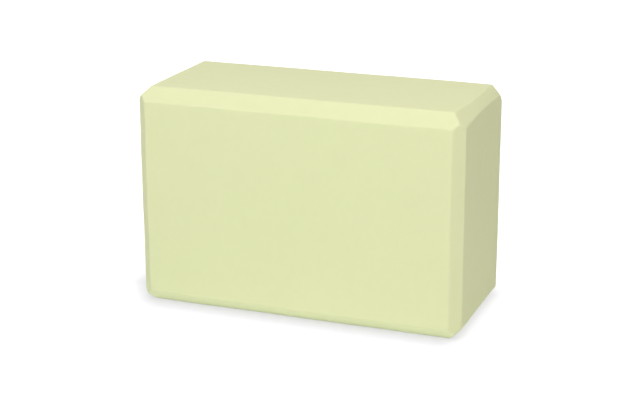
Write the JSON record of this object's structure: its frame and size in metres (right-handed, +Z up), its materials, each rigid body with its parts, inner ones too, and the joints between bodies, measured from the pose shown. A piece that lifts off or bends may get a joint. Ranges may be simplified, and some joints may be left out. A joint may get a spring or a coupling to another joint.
{
  "type": "yoga block",
  "caption": "Rectangular closed-cell foam yoga block with broad bevels on every edge, bonded from foam slabs; rests on any flat side to prop a hand, hip or foot.",
  "frame": {"origin": "on the surface that the block stands on, under the middle of the block", "axes": "+X along the length, to the right as seen from the front; +Y through the thickness, from the front face to the rear face; +Z up"},
  "size_m": [0.2286, 0.1016, 0.1524],
  "materials": {
    "green_foam": "matte cut and sanded closed-cell EVA foam, pale yellow-green",
    "bond_adhesive": "set elastic contact adhesive, pale and slightly translucent"
  },
  "bodies": {
    "root": {"front_foam_slab": "green_foam", "rear_foam_slab": "green_foam", "bond_film": "bond_adhesive"}
  },
  "joints": []
}
